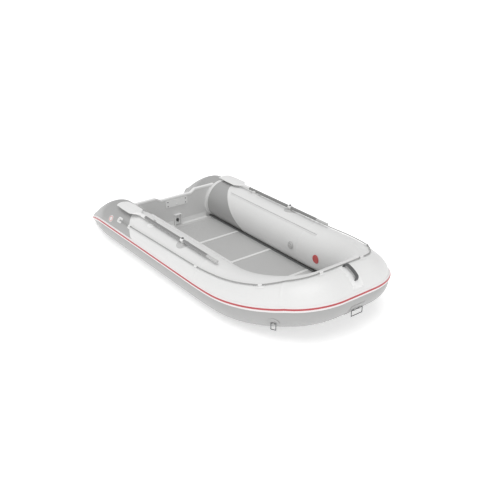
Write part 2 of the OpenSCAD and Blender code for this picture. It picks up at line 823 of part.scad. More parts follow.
module oar_grip() {
    tail = rowlock_x + oar_fore;
    color(dark_rubber) {
        along_oar(shaft_x[1] - 50, shaft_x[1] + 1, shaft_r - shaft_wall - run_fit);
        along_oar(shaft_x[1] + slip, tail, shaft_r - 2);
        along_oar(tail - 12, tail, shaft_r);
    }
}

rest_half = 15;
module oar_rests() {
    low = ball_z - 22;
    x = rowlock_x - rest_back;
    wall = pin_y - shaft_r - 22;
    color(white_pvc) both_sides() difference() {
        union() {
            on_tube(x - bend_x, pin_elev) round_patch(92, side_r, glue, glue + 2.5);
            slab(x - rest_half, 2 * rest_half) polygon([[wall, low], [wall, oar_z + 10],
                [wall + 8, oar_z + 10], [wall + 8, oar_z - shaft_r - 4],
                [pin_y - 11, oar_z - shaft_r - 4], [pin_y + 29, oar_z - shaft_r - 18.5],
                [pin_y + 29, low]]);
        }
        side_tube_space(glue);
    }
}

module blade_keepers() {
    color(white_pvc) both_sides() on_tube(blade_x - 34 - bend_x, pin_elev) {
        round_patch(58, side_r, glue, glue + 2);
        translate([0, 0, 1]) cylinder(r = 10, h = 9);
    }
}

// ---- grab line ----

// Where the line is held, as arc lengths from the shoulder bend, and its elevation there
hold = [[-1530, 41], [-1330, 42], [-242, 48], [s_shoulder - 135, 62], [s_mid - 205, 93]];
span_steps = [1, 4, 9, 10];
line_lift = 9.5;
line_end = 40;
line_stops = concat([hold[0][0] - line_end],
    [for (i = [0 : 3], k = [0 : span_steps[i] - 1])
        mix(hold[i][0], hold[i + 1][0], k / span_steps[i])],
    [hold[4][0], s_mid - 100]);
line_r = rope_d / 2;
function line_elev(s) = lookup(s, hold);
function line_mid(s) = on_skin(s, line_elev(s), line_lift);
function unit(v) = v / norm(v);
function line_ring(s) = let (c = line_mid(s), t = unit(line_mid(s + 5) - line_mid(s - 5)),
    n = unit(on_skin(s, line_elev(s), line_lift + 10) - c), b = cross(t, n))
    [for (k = [0 : 7]) c + line_r * (cos(45 * k) * n + sin(45 * k) * b)];

module grab_line() {
    color("#d3d6d6") rings(round_bow([for (s = line_stops) line_ring(s)]));
}

// Radial room round the line in its tunnel, the tunnel's wall and its length
tunnel = 2.6;
tunnel_wall = 2.5;
tunnel_len = 34;
tunnel_r = line_r + tunnel + tunnel_wall;
// Outline of the raised tunnel: upright sides and a round top
tunnel_outline = concat([[-tunnel_r, 1.5], [tunnel_r, 1.5]],
    [for (k = [0 : 12]) [tunnel_r * cos(15 * k), line_lift + tunnel_r * sin(15 * k)]]);
module grab_line_patches() {
    color(white_pvc) both_sides() for (q = hold) {
        r = skin_r(plan(q[0])[0]);
        rise = (line_elev(q[0] + 25) - line_elev(q[0] - 25)) / 50 * PI / 180 * r;
        on_tube(q[0], q[1], -atan(rise)) difference() {
            union() {
                oblong_patch(74, 56, 14, r, 0.9, 2.9);
                translate([-tunnel_len / 2, 0, 0]) rotate([90, 0, 90])
                    linear_extrude(tunnel_len) polygon(tunnel_outline);
            }
            translate([0, 0, line_lift]) rotate([0, 90, 0])
                cylinder(r = line_r + tunnel, h = 120, center = true);
        }
    }
}

// ---- bow handle and rings ----

handle_base_t = 3;
handle_e = [46, 84];
grip_low = handle_base_t + glue + handle_gap;
grip_t = 11;
module bow_handle_base() {
    color(white_pvc) {
        bow_arc(24, 98, glue, glue + handle_base_t, handle_base_w);
        for (i = [-1, 1]) translate([bow_x, i * (handle_base_w / 2 - 12), side_r + bow_rise])
            rotate([0, -28, 0]) translate([bow_r + 1, 0, 0]) rotate([0, 90, 0])
            cylinder(r = 8, h = 8);
    }
}

module bow_handle_grip() {
    color(dark_rubber) {
        bow_arc(handle_e[0] - 3, handle_e[1] + 3, grip_low, grip_low + grip_t, handle_w);
        for (e = [handle_e[0] - 2.5, handle_e[1] - 1.5])
            bow_arc(e, e + 4, glue + handle_base_t + slip, grip_low + 1, handle_w - 2);
    }
}

bar_r = ring_bar / 2;
lug_r = bar_r + 4;
ring_lift = 10;
bow_ring_e = -30;
bow_ring_x = bow_x + (bow_r + ring_lift) * cos(bow_ring_e);
bow_ring_z = side_r + bow_rise + (bow_r + ring_lift) * sin(bow_ring_e);

// A square ring of round bar hanging from its upper bar, which runs along Y
module hanging_ring(w, h) {
    a = w / 2 + bar_r;
    b = h + ring_bar;
    for (z = [0, -b]) translate([0, -a, z]) rotate([-90, 0, 0]) cylinder(r = bar_r, h = 2 * a);
    for (i = [-1, 1]) translate([0, i * a, -b]) cylinder(r = bar_r, h = b);
    for (i = [-1, 1], z = [0, -b]) translate([0, i * a, z]) sphere(r = bar_r);
}

module bow_ring_patch() {
    color(grey_pvc) difference() {
        union() {
            bow_arc(-56, -17, glue, glue + 3, bow_ring_w + 34);
            for (i = [-1, 1]) translate([bow_x, i * bow_ring_w / 4 - 8, side_r + bow_rise])
                rotate([0, -bow_ring_e, 0]) {
                    translate([bow_r + 1, 0, -lug_r]) cube([ring_lift - 1, 16, 2 * lug_r]);
                    translate([bow_r + ring_lift, 0, 0]) rotate([-90, 0, 0])
                        cylinder(r = lug_r, h = 16);
                }
        }
        translate([bow_ring_x, -bow_ring_w, bow_ring_z]) rotate([-90, 0, 0])
            cylinder(r = bar_r + run_fit, h = 2 * bow_ring_w);
    }
}

module bow_ring() {
    color(steel) translate([bow_ring_x, 0, bow_ring_z]) hanging_ring(bow_ring_w, bow_ring_h);
}

tow_s = 537;
tow_e = -28;
lug_len = 14;
tow_pt = on_skin(tow_s, tow_e, ring_lift);
module at_tow_bar() {
    translate(tow_pt) rotate([0, 0, heading(tow_s) - 90]) children();
}

module tow_ring_patches() {
    color(grey_pvc) both_sides() difference() {
        union() {
            on_tube(tow_s, tow_e) {
                round_patch(96, skin_r(plan(tow_s)[0]), glue, glue + 2.5);
                translate([0, 0, 1.5]) cylinder(r = lug_r - 1, h = ring_lift - 1.5);
            }
            at_tow_bar() translate([0, -lug_len / 2, 0]) rotate([-90, 0, 0])
                cylinder(r = lug_r, h = lug_len);
        }
        at_tow_bar() translate([0, -lug_len / 2 - 1, 0]) rotate([-90, 0, 0])
            cylinder(r = bar_r + run_fit, h = lug_len + 2);
    }
}

module tow_ring() {
    color(steel) at_tow_bar() hanging_ring(tow_ring_w, tow_ring_h);
}

// ---- valves and badges ----

valve_elev = 174;
bow_valve_s = s_mid - 100;
valve_places = [-valve_back, bow_valve_s];
spigot_r = 18;
flange_t = 5;
module valve_body(r) {
    difference() {
        union() {
            translate([0, 0, -10]) cylinder(d = valve_d, h = 10 + flange_t);
            cylinder(r = spigot_r, h = flange_t + 6);
        }
        translate([-valve_d, 0, -r]) rotate([0, 90, 0])
            cylinder(r = r + glue, h = 2 * valve_d, $fn = big);
        cylinder(r = spigot_r - 5, h = 40);
    }
}

module valve_cap() {
    translate([0, 0, flange_t + slip]) difference() {
        union() {
            cylinder(d = cap_d, h = 9);
            translate([-cap_d / 2 + 5, -3.5, 8]) cube([cap_d - 10, 7, 5]);
        }
        translate([0, 0, -1]) cylinder(r = spigot_r + run_fit, h = 7.2);
    }
}

module air_valves() {
    color(grey_pvc) {
        both_sides() on_tube(-valve_back, valve_elev) valve_body(side_r);
        on_tube(bow_valve_s, valve_elev) valve_body(bow_r);
    }
}

// Arc length at which a side badge sits, and the gap that clears the bend's facets under it
badge_s = 58;
badge_low = 2;
badge_t = 1.7;
module side_badges() {
    color(red_trim) both_sides() on_tube(badge_s, 180)
        round_patch(badge_d, skin_r(plan(badge_s)[0]), badge_low, badge_low + badge_t);
}

module stern_badges() {
    color(white_pvc) both_sides() on_tube(tip_x + 690 - bend_x, 31)
        round_patch(stern_badge_d, side_r, glue, glue + 1.8);
}

module starboard_rowlock_post() { to_starboard() rowlock_post(); }
module port_rowlock_post() { rowlock_post(); }
module starboard_rowlock_cap() { to_starboard() rowlock_cap(); }
module port_rowlock_cap() { rowlock_cap(); }
module starboard_oar_collar() { to_starboard() oar_collar(); }
module port_oar_collar() { oar_collar(); }
module starboard_oar_shaft() { to_starboard() oar_shaft(); }
module port_oar_shaft() { oar_shaft(); }
module starboard_oar_blade() { to_starboard() oar_blade(); }
module port_oar_blade() { oar_blade(); }
module starboard_oar_grip() { to_starboard() oar_grip(); }
module port_oar_grip() { oar_grip(); }
module starboard_tow_ring() { to_starboard() tow_ring(); }
module port_tow_ring() { tow_ring(); }

module starboard_valve_cap() {
    color(dark_rubber) to_starboard() on_tube(-valve_back, valve_elev) valve_cap();
}

module port_valve_cap() {
    color(dark_rubber) on_tube(-valve_back, valve_elev) valve_cap();
}

module bow_valve_cap() {
    color(dark_rubber) on_tube(bow_valve_s, valve_elev) valve_cap();
}

starboard_side_tube();
port_side_tube();
bow_tube();
starboard_quarter_tube();
port_quarter_tube();
starboard_stern_cone();
port_stern_cone();
chamber_bulkheads();
rub_strake();
rub_strake_stripe();
bottom_skin();
keel_bladder();
floor_panel_aft();
floor_panel_middle();
floor_panel_fore();
floor_board_bow();
floor_joiners();
side_stringers();
transom_board();
transom_cap();
transom_base_channel();
transom_bands();
motor_plate_inner();
motor_plate_outer();
motor_plate_bolts();
drain_valve();
drain_guard();
drain_plug();
drain_flap();
thwart_rails();
rowlock_bases();
starboard_rowlock_post();
port_rowlock_post();
starboard_rowlock_cap();
port_rowlock_cap();
starboard_oar_collar();
port_oar_collar();
starboard_oar_shaft();
port_oar_shaft();
starboard_oar_blade();
port_oar_blade();
starboard_oar_grip();
port_oar_grip();
oar_rests();
blade_keepers();
grab_line();
grab_line_patches();
bow_handle_base();
bow_handle_grip();
bow_ring_patch();
bow_ring();
tow_ring_patches();
starboard_tow_ring();
port_tow_ring();
air_valves();
starboard_valve_cap();
port_valve_cap();
bow_valve_cap();
side_badges();
stern_badges();
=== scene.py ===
"""Visual model of an inflatable dinghy with a rigid transom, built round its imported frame."""

import logging
import math
from dataclasses import dataclass, field
from enum import Enum
from typing import Callable

import bpy
import numpy as np
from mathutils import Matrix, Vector


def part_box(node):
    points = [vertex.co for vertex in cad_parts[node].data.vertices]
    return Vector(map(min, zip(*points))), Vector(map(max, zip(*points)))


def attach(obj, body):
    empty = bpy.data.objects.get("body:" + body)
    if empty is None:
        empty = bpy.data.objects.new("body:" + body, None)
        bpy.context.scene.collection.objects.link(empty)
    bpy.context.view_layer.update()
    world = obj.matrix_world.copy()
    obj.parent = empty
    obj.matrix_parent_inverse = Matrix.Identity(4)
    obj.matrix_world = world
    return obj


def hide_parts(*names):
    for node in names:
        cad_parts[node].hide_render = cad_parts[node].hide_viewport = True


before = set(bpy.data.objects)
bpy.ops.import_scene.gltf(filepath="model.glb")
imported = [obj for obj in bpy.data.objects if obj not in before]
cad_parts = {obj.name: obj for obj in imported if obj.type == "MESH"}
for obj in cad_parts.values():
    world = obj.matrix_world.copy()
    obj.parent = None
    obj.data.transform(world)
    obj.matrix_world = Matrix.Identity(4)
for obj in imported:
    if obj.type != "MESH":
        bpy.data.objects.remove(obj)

LOG = logging.getLogger("dinghy")
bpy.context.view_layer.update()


# ---------------------------------------------------------------- finishes

class Finish(Enum):
    """The finishes of the boat, most named as a maker would; one dark grey is painted shade."""

    WHITE_FABRIC = "white_fabric"
    GREY_FABRIC = "grey_fabric"
    STRAKE = "strake"
    RED_STRIPE = "red_stripe"
    RED_BADGE = "red_badge"
    WHITE_MOULDING = "white_moulding"
    GREY_MOULDING = "grey_moulding"
    DARK_RUBBER = "dark_rubber"
    FLOOR_ALLOY = "floor_alloy"
    TRIM_ALLOY = "trim_alloy"
    TREAD = "tread"
    STRINGER_PAINTED_SHADE = "stringer_painted_shade"
    TRANSOM_SKIN = "transom_skin"
    OAR_TUBE = "oar_tube"
    STEEL = "steel"
    ROPE = "rope"
    STUDIO = "studio"


@dataclass(frozen=True)
class FinishRecipe:
    """How one finish looks. Scales are repeats per metre, bump heights are in metres."""

    colour: tuple[float, float, float]
    roughness: float
    metallic: float = 0.0
    coat: float = 0.0
    weave: float = 0.0
    weave_scale: float = 900.0
    grain: float = 0.0
    grain_scale: float = 400.0
    brushed: float = 0.0
    wear: float = 0.04
    glow: float = 0.0


RECIPES: dict[Finish, FinishRecipe] = {
    Finish.WHITE_FABRIC: FinishRecipe((0.78, 0.78, 0.775), 0.42, coat=0.12, weave=0.00008),
    Finish.GREY_FABRIC: FinishRecipe((0.40, 0.40, 0.397), 0.42, coat=0.12, weave=0.00008),
    Finish.STRAKE: FinishRecipe((0.82, 0.79, 0.79), 0.45, grain=0.00005),
    Finish.RED_STRIPE: FinishRecipe((0.5, 0.07, 0.08), 0.4, grain=0.00004),
    Finish.RED_BADGE: FinishRecipe((0.6, 0.1, 0.1), 0.35, grain=0.00003),
    Finish.WHITE_MOULDING: FinishRecipe((0.84, 0.84, 0.835), 0.42, grain=0.00006),
    Finish.GREY_MOULDING: FinishRecipe((0.55, 0.55, 0.545), 0.45, grain=0.00006),
    Finish.DARK_RUBBER: FinishRecipe((0.1, 0.102, 0.103), 0.6, grain=0.0001),
    Finish.FLOOR_ALLOY: FinishRecipe((0.62, 0.62, 0.615), 0.45, metallic=0.25, brushed=0.14),
    Finish.TRIM_ALLOY: FinishRecipe((0.82, 0.82, 0.815), 0.4, metallic=0.15, brushed=0.06),
    Finish.TREAD: FinishRecipe((0.36, 0.36, 0.357), 0.5, metallic=0.2, brushed=0.12),
    # Dark grey of the side stringers is painted shade, standing for the shadowed gap between the
    # floor and the tubes.
    Finish.STRINGER_PAINTED_SHADE: FinishRecipe((0.15, 0.152, 0.152), 0.6, grain=0.0001),
    Finish.TRANSOM_SKIN: FinishRecipe((0.68, 0.68, 0.675), 0.4, coat=0.25, grain=0.00015,
                                      grain_scale=160.0),
    Finish.OAR_TUBE: FinishRecipe((0.33, 0.33, 0.328), 0.38, metallic=0.5, brushed=0.06),
    Finish.STEEL: FinishRecipe((0.16, 0.165, 0.17), 0.36, metallic=0.9, brushed=0.05),
    Finish.ROPE: FinishRecipe((0.36, 0.36, 0.355), 0.85, grain=0.0003, grain_scale=900.0),
    Finish.STUDIO: FinishRecipe((0.9, 0.9, 0.9), 0.9, wear=0.0, glow=0.4),
}


class Sockets:
    """Small helpers for wiring shader nodes."""

    @staticmethod
    def group(name: str, inputs: dict[str, float], outputs: list[str]) -> bpy.types.NodeTree:
        """Makes an empty shader group.

        Args:
            name: the group's name.
            inputs: float inputs and their default values.
            outputs: names of the float outputs.

        Returns:
            The group, with its input and output nodes placed.
        """
        tree = bpy.data.node_groups.new(name, "ShaderNodeTree")
        for key, value in inputs.items():
            item = tree.interface.new_socket(key, in_out="INPUT", socket_type="NodeSocketFloat")
            item.default_value = value
        for key in outputs:
            tree.interface.new_socket(key, in_out="OUTPUT", socket_type="NodeSocketFloat")
        tree.nodes.new("NodeGroupInput")
        tree.nodes.new("NodeGroupOutput")
        return tree

    @staticmethod
    def math(tree: bpy.types.NodeTree, kind: str, a: object, b: object) -> bpy.types.NodeSocket:
        """Adds a math node.

        Args:
            tree: the tree that gets the node.
            kind: the operation.
            a: a socket or a number.
            b: a socket or a number.

        Returns:
            The output socket.
        """
        node = tree.nodes.new("ShaderNodeMath")
        node.operation = kind
        for index, value in enumerate((a, b)):
            if isinstance(value, bpy.types.NodeSocket):
                tree.links.new(value, node.inputs[index])
            else:
                node.inputs[index].default_value = value
        return node.outputs[0]


class SurfaceEffects:
    """Shader groups that more than one finish uses."""

    def __init__(self) -> None:
        """Builds the three groups once."""
        self.mottle = self._mottle()
        self.weave = self._weave()
        self.grain = self._grain()

    @staticmethod
    def _noise(tree: bpy.types.NodeTree, scale: object, detail: float,
               stretch: tuple[float, float, float] | None = None) -> bpy.types.NodeSocket:
        """Adds noise in object space.

        Args:
            tree: the tree that gets the nodes.
            scale: a socket or a number.
            detail: octaves of noise.
            stretch: factors on x, y and z, for streaks.

        Returns:
            The noise's value socket.
        """
        coords = tree.nodes.new("ShaderNodeTexCoord")
        noise = tree.nodes.new("ShaderNodeTexNoise")
        noise.inputs["Detail"].default_value = detail
        source = coords.outputs["Object"]
        if stretch:
            mapping = tree.nodes.new("ShaderNodeMapping")
            mapping.inputs["Scale"].default_value = stretch
            tree.links.new(source, mapping.inputs["Vector"])
            source = mapping.outputs["Vector"]
        tree.links.new(source, noise.inputs["Vector"])
        if isinstance(scale, bpy.types.NodeSocket):
            tree.links.new(scale, noise.inputs["Scale"])
        else:
            noise.inputs["Scale"].default_value = scale
        return noise.outputs["Fac"]

    def _mottle(self) -> bpy.types.NodeTree:
        """Broad and fine unevenness of a surface, as a factor round 1.

        Returns:
            The group, with input Amount and output Factor.
        """
        tree = Sockets.group("uneven_tone", {"Amount": 0.04}, ["Factor", "Mask"])
        broad = self._noise(tree, 2.2, 3.0)
        fine = self._noise(tree, 45.0, 5.0)
        mixed = Sockets.math(tree, "ADD", Sockets.math(tree, "MULTIPLY", broad, 0.6),
                             Sockets.math(tree, "MULTIPLY", fine, 0.4))
        centred = Sockets.math(tree, "SUBTRACT", mixed, 0.5)
        amount = tree.nodes["Group Input"].outputs["Amount"]
        factor = Sockets.math(tree, "ADD", Sockets.math(tree, "MULTIPLY", centred, amount), 1.0)
        out = tree.nodes["Group Output"]
        tree.links.new(factor, out.inputs["Factor"])
        tree.links.new(mixed, out.inputs["Mask"])
        return tree

    def _weave(self) -> bpy.types.NodeTree:
        """Two crossed sets of threads, telegraphing through a coated fabric.

        Returns:
            The group, with input Scale and output Height.
        """
        tree = Sockets.group("thread_print", {"Scale": 900.0}, ["Height"])
        coords = tree.nodes.new("ShaderNodeTexCoord")
        heights = []
        for axis in ("X", "Z"):
            wave = tree.nodes.new("ShaderNodeTexWave")
            wave.bands_direction = axis
            tree.links.new(coords.outputs["Object"], wave.inputs["Vector"])
            tree.links.new(tree.nodes["Group Input"].outputs["Scale"], wave.inputs["Scale"])
            heights.append(wave.outputs["Fac"])
        total = Sockets.math(tree, "ADD", heights[0], heights[1])
        tree.links.new(total, tree.nodes["Group Output"].inputs["Height"])
        return tree

    def _grain(self) -> bpy.types.NodeTree:
        """Fine pebbling of moulded plastic and rubber.

        Returns:
            The group, with input Scale and output Height.
        """
        tree = Sockets.group("pebble_grain", {"Scale": 400.0}, ["Height"])
        value = self._noise(tree, tree.nodes["Group Input"].outputs["Scale"], 3.0)
        tree.links.new(value, tree.nodes["Group Output"].inputs["Height"])
        return tree


class FinishShop:
    """Makes each finish's material once and hands it out."""

    STREAK = (1.0, 60.0, 60.0)

    def __init__(self) -> None:
        """Prepares the shared effects."""
        self.effects = SurfaceEffects()
        self.made: dict[Finish, bpy.types.Material] = {}

    def get(self, finish: Finish) -> bpy.types.Material:
        """The material of a finish.

        Args:
            finish: the finish wanted.

        Returns:
            Its material, built at the first call.
        """
        if finish not in self.made:
            self.made[finish] = self._build(finish, RECIPES[finish])
        return self.made[finish]

    def _build(self, finish: Finish, recipe: FinishRecipe) -> bpy.types.Material:
        """Builds one material.

        Args:
            finish: which finish it is.
            recipe: its numbers.

        Returns:
            The new material.
        """
        material = bpy.data.materials.new(finish.value)
        material.use_nodes = True
        tree = material.node_tree
        shader = tree.nodes["Principled BSDF"]
        shader.inputs["Metallic"].default_value = recipe.metallic
        shader.inputs["Coat Weight"].default_value = recipe.coat
        shader.inputs["Coat Roughness"].default_value = 0.25
        shader.inputs["Emission Color"].default_value = (1.0, 1.0, 1.0, 1.0)
        shader.inputs["Emission Strength"].default_value = recipe.glow
        tone = tree.nodes.new("ShaderNodeGroup")
        tone.node_tree = self.effects.mottle
        tone.inputs["Amount"].default_value = recipe.wear * 2.0
        factor = tone.outputs["Factor"]
        if recipe.brushed:
            streak = self.effects._noise(tree, 18.0, 4.0, self.STREAK)
            swing = Sockets.math(tree, "MULTIPLY", Sockets.math(tree, "SUBTRACT", streak, 0.5),
                                 recipe.brushed * 2.0)
            factor = Sockets.math(tree, "ADD", factor, swing)
        scaled = tree.nodes.new("ShaderNodeVectorMath")
        scaled.operation = "SCALE"
        scaled.inputs[0].default_value = recipe.colour
        tree.links.new(factor, scaled.inputs["Scale"])
        tree.links.new(scaled.outputs["Vector"], shader.inputs["Base Color"])
        rough = Sockets.math(tree, "MULTIPLY", tone.outputs["Mask"], 0.16)
        tree.links.new(Sockets.math(tree, "ADD", rough, recipe.roughness - 0.08),
                       shader.inputs["Roughness"])
        self._relief(tree, shader, recipe)
        return material

    def _relief(self, tree: bpy.types.NodeTree, shader: bpy.types.Node,
                recipe: FinishRecipe) -> None:
        """Adds the recipe's weave and grain as bumps, one on the other.

        Args:
            tree: the material's tree.
            shader: its shader node.
            recipe: the finish's numbers.
        """
        normal = None
        layers = ((recipe.weave, self.effects.weave, recipe.weave_scale),
                  (recipe.grain, self.effects.grain, recipe.grain_scale))
        for height, group, scale in layers:
            if not height:
                continue
            relief = tree.nodes.new("ShaderNodeGroup")
            relief.node_tree = group
            relief.inputs["Scale"].default_value = scale
            bump = tree.nodes.new("ShaderNodeBump")
            bump.inputs["Strength"].default_value = 0.5
            bump.inputs["Distance"].default_value = height
            tree.links.new(relief.outputs["Height"], bump.inputs["Height"])
            if normal:
                tree.links.new(normal, bump.inputs["Normal"])
            normal = bump.outputs["Normal"]
        if normal:
            tree.links.new(normal, shader.inputs["Normal"])


# ---------------------------------------------------------------- mesh tools

Rings = np.ndarray


class Loft:
    """Collects rings of points into one closed mesh."""

    def __init__(self) -> None:
        """Starts empty."""
        self.points: list[np.ndarray] = []
        self.faces: list[tuple[int, ...]] = []
        self.tags: list[int] = []
        self.count = 0

    def _add(self, points: np.ndarray) -> int:
        """Adds points.

        Args:
            points: an array of shape (n, 3).

        Returns:
            The index of the first one.
        """
        start = self.count
        self.points.append(points)
        self.count += len(points)
        return start

    def sweep(self, rings: Rings, tags: list[int] | None = None, loop: bool = False,
              fan: bool = False) -> "Loft":
        """Adds a closed skin through rings.

        Args:
            rings: an array of shape (rings, points, 3).
            tags: a material index for each point's column of faces.
            loop: whether the last ring joins the first.
            fan: whether the ends close with a fan to their middle, for large ends.

        Returns:
            This loft.
        """
        m, n = rings.shape[:2]
        base = self._add(rings.reshape(-1, 3))
        tags = tags or [0] * n
        for i in range(m if loop else m - 1):
            here, there = base + i * n, base + ((i + 1) % m) * n
            for j in range(n):
                k = (j + 1) % n
                self.faces.append((here + j, here + k, there + k, there + j))
                self.tags.append(tags[j])
        if not loop:
            for i, flip in ((0, True), (m - 1, False)):
                ring = [base + i * n + j for j in range(n)]
                ring = ring[::-1] if flip else ring
                if fan:
                    middle = self._add(rings[i].mean(axis=0)[None, :])
                    for j in range(n):
                        self.faces.append((ring[j], ring[(j + 1) % n], middle))
                        self.tags.append(tags[0])
                else:
                    self.faces.append(tuple(ring))
                    self.tags.append(tags[0])
        return self


class Workshop:
    """Turns lofts into finished pieces on the frame."""

    def __init__(self, shop: FinishShop) -> None:
        """Keeps the finish shop.

        Args:
            shop: where materials come from.
        """
        self.shop = shop

    def piece(self, name: str, loft: Loft, finishes: list[Finish], slot: str,
              replaces: tuple[str, ...] = (), body: str = "hull",
              crease_deg: float = 40.0) -> bpy.types.Object:
        """Makes one piece.

        Args:
            name: the piece's name.
            loft: its skin.
            finishes: its finishes, in the order of the loft's tags.
            slot: a material slot's name; not used.
            replaces: the frame's nodes that it stands for.
            body: the body it rides on.
            crease_deg: edges sharper than this stay sharp.

        Returns:
            The new object.
        """
        mesh = bpy.data.meshes.new(name)
        mesh.from_pydata(np.concatenate(loft.points).tolist(), [], loft.faces)
        for finish in finishes:
            mesh.materials.append(self.shop.get(finish))
        mesh.polygons.foreach_set("material_index", loft.tags)
        mesh.validate()
        piece = bpy.data.objects.new(name, mesh)
        bpy.context.scene.collection.objects.link(piece)
        self._outward(mesh)
        mesh.shade_smooth()
        mesh.set_sharp_from_angle(angle=math.radians(crease_deg))
        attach(piece, body)
        if replaces:
            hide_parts(*replaces)
        LOG.info("%s: %d faces on %s", name, len(mesh.polygons), body)
        return piece

    @staticmethod
    def _outward(mesh: bpy.types.Mesh) -> None:
        """Turns every face of a mesh outward.

        Args:
            mesh: the mesh to mend.
        """
        import bmesh
        work = bmesh.new()
        work.from_mesh(mesh)
        bmesh.ops.recalc_face_normals(work, faces=work.faces)
        work.to_mesh(mesh)
        work.free()

    def dress(self, node: str, finish: Finish) -> None:
        """Gives a frame node its finish.

        Args:
            node: the node's name.
            finish: its finish.
        """
        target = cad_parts[node]
        target.data.materials.clear()
        target.data.materials.append(self.shop.get(finish))
        LOG.info("%s dressed in %s", node, finish.value)


# ---------------------------------------------------------------- hull form

@dataclass
class HullForm:
    """The swept tubes, in metres. Places along a tube are arc lengths from the shoulder bend.

    Elevation 0 is outboard, 90 up and 180 inboard.
    """

    shoulder_deg: float = 31.0
    shoulder_bend: float = 0.300
    corner_bend: float = 0.150
    corner_y: float = 0.305
    bow_r: float = 0.194
    rise_power: float = 2.25
    cone_tip_r: float = 0.066
    cone_cap: float = 0.050
    strake_deg: float = 8.5
    side_r: float = field(init=False)
    axis_y: float = field(init=False)

    def __post_init__(self) -> None:
        """Works out the path from the frame's boxes."""
        low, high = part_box("port_side_tube")
        self.side_r = (high[2] - low[2]) / 2
        self.axis_y = (high[1] + low[1]) / 2
        self.joint_x, self.rise_x = low[0], high[0]
        self.tip_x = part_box("port_stern_cone")[0][0]
        self.cone_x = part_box("port_stern_cone")[1][0]
        bow_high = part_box("bow_tube")[1]
        self.bow_x = bow_high[0] - self.bow_r
        self.rise = bow_high[2] - self.bow_r - self.side_r
        turn, corner = math.radians(self.shoulder_deg), math.radians(90 - self.shoulder_deg)
        self.turn = turn
        self.shoulder_r = self.shoulder_bend / math.tan(turn / 2)
        self.corner_r = self.corner_bend / math.tan(corner / 2)
        inset = self.axis_y - self.corner_y
        self.shoulder_x = self.bow_x - inset / math.tan(turn)
        self.bend_x = self.shoulder_x - self.shoulder_bend
        self.oblique = inset / math.sin(turn) - self.shoulder_bend - self.corner_bend
        self.s_shoulder = self.shoulder_r * turn
        self.s_oblique = self.s_shoulder + self.oblique
        self.s_corner = self.s_oblique + self.corner_r * corner
        self.s_mid = self.s_corner + self.corner_y - self.corner_bend
        self.s_rise = self.rise_x - self.bend_x

    def heading(self, s: float) -> float:
        """The path's turn at s, in radians, 0 to the bow and negative inboard."""
        if s < 0:
            return 0.0
        if s < self.s_shoulder:
            return -s / self.shoulder_r
        if s < self.s_oblique:
            return -self.turn
        if s < self.s_corner:
            return -self.turn - (s - self.s_oblique) / self.corner_r
        return -math.pi / 2

    def plan(self, s: float) -> tuple[float, float]:
        """The port path's x and y at s."""
        h = -self.heading(s)
        if s < 0:
            return self.bend_x + s, self.axis_y
        if s < self.s_shoulder:
            return (self.bend_x + self.shoulder_r * math.sin(h),
                    self.axis_y - self.shoulder_r * (1 - math.cos(h)))
        run = self.shoulder_bend + min(s, self.s_oblique) - self.s_shoulder
        x = self.shoulder_x + run * math.cos(self.turn)
        y = self.axis_y - run * math.sin(self.turn)
        if s < self.s_oblique:
            return x, y
        if s < self.s_corner:
            return (x + self.corner_r * (math.sin(h) - math.sin(self.turn)),
                    y + self.corner_r * (math.cos(h) - math.cos(self.turn)))
        return self.bow_x, self.corner_y - self.corner_bend - (s - self.s_corner)

    def share(self, x: float) -> float:
        """Share of the bow's rise and taper that is reached at x."""
        return min(1.0, max(0.0, (x - self.rise_x) / (self.bow_x - self.rise_x)))

    def cone_radius(self, x: float) -> float:
        """Radius of the stern cone at x, before its blunt end is rounded."""
        reach = (self.cone_x - self.tip_x) - self.cone_cap
        part = min(1.0, max(0.0, (self.cone_x - x) / reach))
        return self.side_r - (self.side_r - self.cone_tip_r) * part ** 1.3

    def radius(self, x: float) -> float:
        """Radius of the tube at x."""
        if x >= self.cone_x:
            return self.side_r + (self.bow_r - self.side_r) * self.share(x)
        cap = min(1.0, max(0.0, (self.tip_x + self.cone_cap - x) / self.cone_cap))
        return self.cone_radius(x) * math.sqrt(1 - 0.98 * cap * cap)

    def height(self, x: float) -> float:
        """Height of the tube's axis at x."""
        if x < self.cone_x:
            return self.cone_radius(x)
        return self.side_r + self.rise * self.share(x) ** self.rise_power

    def slope(self, x: float) -> float:
        """Rise of the tube's axis per metre at x."""
        span = self.bow_x - self.rise_x
        return self.rise * self.rise_power * self.share(x) ** (self.rise_power - 1) / span

    def point(self, s: float, elev: float, lift: float = 0.0, side: int = 1) -> np.ndarray:
        """A point on or off the skin.

        Args:
            s: arc length along the tube.
            elev: elevation round the tube, in degrees.
            lift: height above the skin.
            side: 1 for port, -1 for starboard.

        Returns:
            The point.
        """
        x, y = self.plan(s)
        h = self.heading(s)
        tilt = math.atan(self.slope(x) * math.cos(h))
        across = np.array([-math.sin(h), math.cos(h), 0.0])
        up = np.array([-math.sin(tilt) * math.cos(h), -math.sin(tilt) * math.sin(h),
                       math.cos(tilt)])
        e = math.radians(elev)
        spot = np.array([x, y, self.height(x)])
        spot = spot + (self.radius(x) + lift) * (math.cos(e) * across + math.sin(e) * up)
        spot[1] *= side
        return spot

    def stern(self, x: float) -> float:
        """Arc length of a place at x on the straight side."""
        return x - self.bend_x

    def round_bow(self, start: float, step: float, reach: float | None = None
                  ) -> list[tuple[float, int]]:
        """Stops along the whole boat, from the port side round the bow to starboard.

        Args:
            start: arc length of the first stop.
            step: distance between stops.
            reach: arc length of the last port stop, the middle of the bow if left out.

        Returns:
            Pairs of arc length and side.
        """
        end = self.s_mid if reach is None else reach
        count = max(2, int(round((end - start) / step)) + 1)
        port = [(float(s), 1) for s in np.linspace(start, end, count)]
        return port + [(s, -1) for s, _ in reversed(port[:-1])]


def bell(value: float, low: float, high: float) -> float:
    """A smooth window.

    Args:
        value: where to read it.
        low: where it starts.
        high: where it ends.

    Returns:
        0 outside the window and 1 in its middle.
    """
    if not low < value < high:
        return 0.0
    return math.sin(math.pi * (value - low) / (high - low)) ** 2


